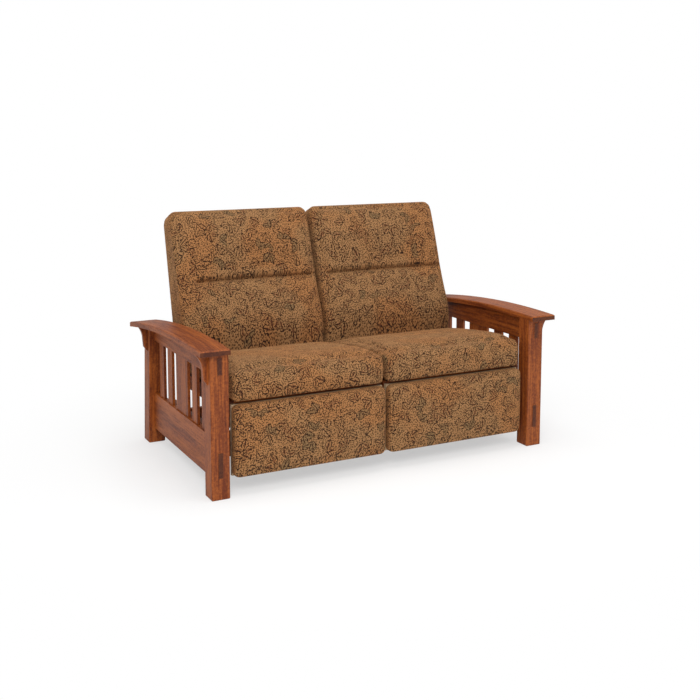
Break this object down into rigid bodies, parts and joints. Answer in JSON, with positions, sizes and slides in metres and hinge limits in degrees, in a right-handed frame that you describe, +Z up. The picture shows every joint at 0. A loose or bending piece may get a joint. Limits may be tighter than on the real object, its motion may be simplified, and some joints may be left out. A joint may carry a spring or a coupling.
{
  "type": "reclining loveseat",
  "caption": "Two-seat wooden-armed loveseat with slatted sides; each seat reclines on swing links and raises its own footrest on parallel links.",
  "frame": {"origin": "on the floor, under the centre of the bounding box", "axes": "+X along the width to the sitter's left, +Y to the back, +Z up; the footrests face -Y"},
  "size_m": [1.669, 0.959, 1.0569],
  "materials": {
    "stained_wood": "satin stained hardwood",
    "ply": "raw plywood",
    "upholstery": "woven figured upholstery",
    "webbing": "elastic webbing",
    "steel": "black painted steel"
  },
  "bodies": {
    "base": {"front_stretcher": "stained_wood", "rear_stretcher": "stained_wood", "stretcher_cleats": "steel", "centre_runner": "stained_wood", "left_arm_top": "stained_wood", "left_front_post": "stained_wood", "left_rear_post": "stained_wood", "left_slats": "stained_wood", "left_upper_rail": "stained_wood", "left_lower_rail": "stained_wood", "left_corbels": "stained_wood", "left_outer_runner": "stained_wood", "left_base_brackets": "steel", "right_arm_top": "stained_wood", "right_front_post": "stained_wood", "right_rear_post": "stained_wood", "right_slats": "stained_wood", "right_upper_rail": "stained_wood", "right_lower_rail": "stained_wood", "right_corbels": "stained_wood", "right_outer_runner": "stained_wood", "right_base_brackets": "steel"},
    "left_front_swing": {"left_front_swing_links": "steel"},
    "left_rear_swing": {"left_rear_swing_links": "steel"},
    "left_seat": {"left_seat_rails": "stained_wood", "left_seat_boards": "stained_wood", "left_seat_webbing": "webbing", "left_seat_cushion": "upholstery", "left_seat_plates": "steel"},
    "left_back": {"left_back_brackets": "steel", "left_back_board": "ply", "left_back_panel": "upholstery", "left_back_cushion": "upholstery"},
    "left_main_links": {"left_footrest_main_links": "steel", "left_footrest_torsion_tube": "steel"},
    "left_control_links": {"left_footrest_control_links": "steel"},
    "left_carrier_links": {"left_footrest_carrier_links": "steel"},
    "left_tilt_links": {"left_footrest_tilt_links": "steel"},
    "left_footrest": {"left_footrest_brackets": "steel", "left_footrest_board": "ply", "left_footrest_pad": "upholstery"},
    "right_front_swing": {"right_front_swing_links": "steel"},
    "right_rear_swing": {"right_rear_swing_links": "steel"},
    "right_seat": {"right_seat_rails": "stained_wood", "right_seat_boards": "stained_wood", "right_seat_webbing": "webbing", "right_seat_cushion": "upholstery", "right_seat_plates": "steel"},
    "right_back": {"right_back_brackets": "steel", "right_back_board": "ply", "right_back_panel": "upholstery", "right_back_cushion": "upholstery"},
    "right_main_links": {"right_footrest_main_links": "steel", "right_footrest_torsion_tube": "steel"},
    "right_control_links": {"right_footrest_control_links": "steel"},
    "right_carrier_links": {"right_footrest_carrier_links": "steel"},
    "right_tilt_links": {"right_footrest_tilt_links": "steel"},
    "right_footrest": {"right_footrest_brackets": "steel", "right_footrest_board": "ply", "right_footrest_pad": "upholstery"}
  },
  "joints": [
    {"name": "left_recline", "type": "hinge", "parent": "left_seat", "child": "left_back", "pos_m": [-0.3465, 0.1945, 0.34], "axis": [-1, 0, 0], "range_deg": [0, 27]},
    {"name": "left_footrest_raise", "type": "hinge", "parent": "left_seat", "child": "left_main_links", "pos_m": [-0.3465, -0.3055, 0.318], "axis": [-1, 0, 0], "range_deg": [0, 90]},
    {"name": "left_rear_swing", "type": "hinge", "parent": "base", "child": "left_rear_swing", "pos_m": [-0.3465, 0.0145, 0.205], "axis": [1, 0, 0], "range_deg": [0, 60]},
    {"name": "left_seat_level", "type": "hinge", "parent": "left_rear_swing", "child": "left_seat", "pos_m": [-0.3465, 0.0645, 0.2916], "axis": [-1, 0, 0], "range_deg": [0, 60]},
    {"name": "left_front_swing", "type": "hinge", "parent": "base", "child": "left_front_swing", "pos_m": [-0.3465, -0.2555, 0.205], "axis": [1, 0, 0], "range_deg": [0, 60]},
    {"name": "left_control_swing", "type": "hinge", "parent": "left_seat", "child": "left_control_links", "pos_m": [-0.3465, -0.34853, 0.33116], "axis": [-1, 0, 0], "range_deg": [0, 90]},
    {"name": "left_knee", "type": "hinge", "parent": "left_main_links", "child": "left_carrier_links", "pos_m": [-0.3465, -0.20691, 0.13258], "axis": [1, 0, 0], "range_deg": [0, 90]},
    {"name": "left_tilt_knee", "type": "hinge", "parent": "left_main_links", "child": "left_tilt_links", "pos_m": [-0.3465, -0.21109, 0.17236], "axis": [1, 0, 0], "range_deg": [0, 90]},
    {"name": "left_footrest_turn", "type": "hinge", "parent": "left_carrier_links", "child": "left_footrest", "pos_m": [-0.3465, -0.3635, 0.258], "axis": [-1, 0, 0], "range_deg": [0, 90]},
    {"name": "right_recline", "type": "hinge", "parent": "right_seat", "child": "right_back", "pos_m": [0.3465, 0.1945, 0.34], "axis": [-1, 0, 0], "range_deg": [0, 27]},
    {"name": "right_footrest_raise", "type": "hinge", "parent": "right_seat", "child": "right_main_links", "pos_m": [0.3465, -0.3055, 0.318], "axis": [-1, 0, 0], "range_deg": [0, 90]},
    {"name": "right_rear_swing", "type": "hinge", "parent": "base", "child": "right_rear_swing", "pos_m": [0.3465, 0.0145, 0.205], "axis": [1, 0, 0], "range_deg": [0, 60]},
    {"name": "right_seat_level", "type": "hinge", "parent": "right_rear_swing", "child": "right_seat", "pos_m": [0.3465, 0.0645, 0.2916], "axis": [-1, 0, 0], "range_deg": [0, 60]},
    {"name": "right_front_swing", "type": "hinge", "parent": "base", "child": "right_front_swing", "pos_m": [0.3465, -0.2555, 0.205], "axis": [1, 0, 0], "range_deg": [0, 60]},
    {"name": "right_control_swing", "type": "hinge", "parent": "right_seat", "child": "right_control_links", "pos_m": [0.3465, -0.34853, 0.33116], "axis": [-1, 0, 0], "range_deg": [0, 90]},
    {"name": "right_knee", "type": "hinge", "parent": "right_main_links", "child": "right_carrier_links", "pos_m": [0.3465, -0.20691, 0.13258], "axis": [1, 0, 0], "range_deg": [0, 90]},
    {"name": "right_tilt_knee", "type": "hinge", "parent": "right_main_links", "child": "right_tilt_links", "pos_m": [0.3465, -0.21109, 0.17236], "axis": [1, 0, 0], "range_deg": [0, 90]},
    {"name": "right_footrest_turn", "type": "hinge", "parent": "right_carrier_links", "child": "right_footrest", "pos_m": [0.3465, -0.3635, 0.258], "axis": [-1, 0, 0], "range_deg": [0, 90]}
  ],
  "couplings": [
    {"joint": "left_rear_swing", "follows": "left_recline", "ratio": 2.2222},
    {"joint": "left_seat_level", "follows": "left_recline", "ratio": 2.2222},
    {"joint": "left_front_swing", "follows": "left_recline", "ratio": 2.2222},
    {"joint": "left_control_swing", "follows": "left_footrest_raise", "ratio": 1},
    {"joint": "left_knee", "follows": "left_footrest_raise", "ratio": 1},
    {"joint": "left_tilt_knee", "follows": "left_footrest_raise", "ratio": 1},
    {"joint": "left_footrest_turn", "follows": "left_footrest_raise", "ratio": 1},
    {"joint": "right_rear_swing", "follows": "right_recline", "ratio": 2.2222},
    {"joint": "right_seat_level", "follows": "right_recline", "ratio": 2.2222},
    {"joint": "right_front_swing", "follows": "right_recline", "ratio": 2.2222},
    {"joint": "right_control_swing", "follows": "right_footrest_raise", "ratio": 1},
    {"joint": "right_knee", "follows": "right_footrest_raise", "ratio": 1},
    {"joint": "right_tilt_knee", "follows": "right_footrest_raise", "ratio": 1},
    {"joint": "right_footrest_turn", "follows": "right_footrest_raise", "ratio": 1}
  ]
}
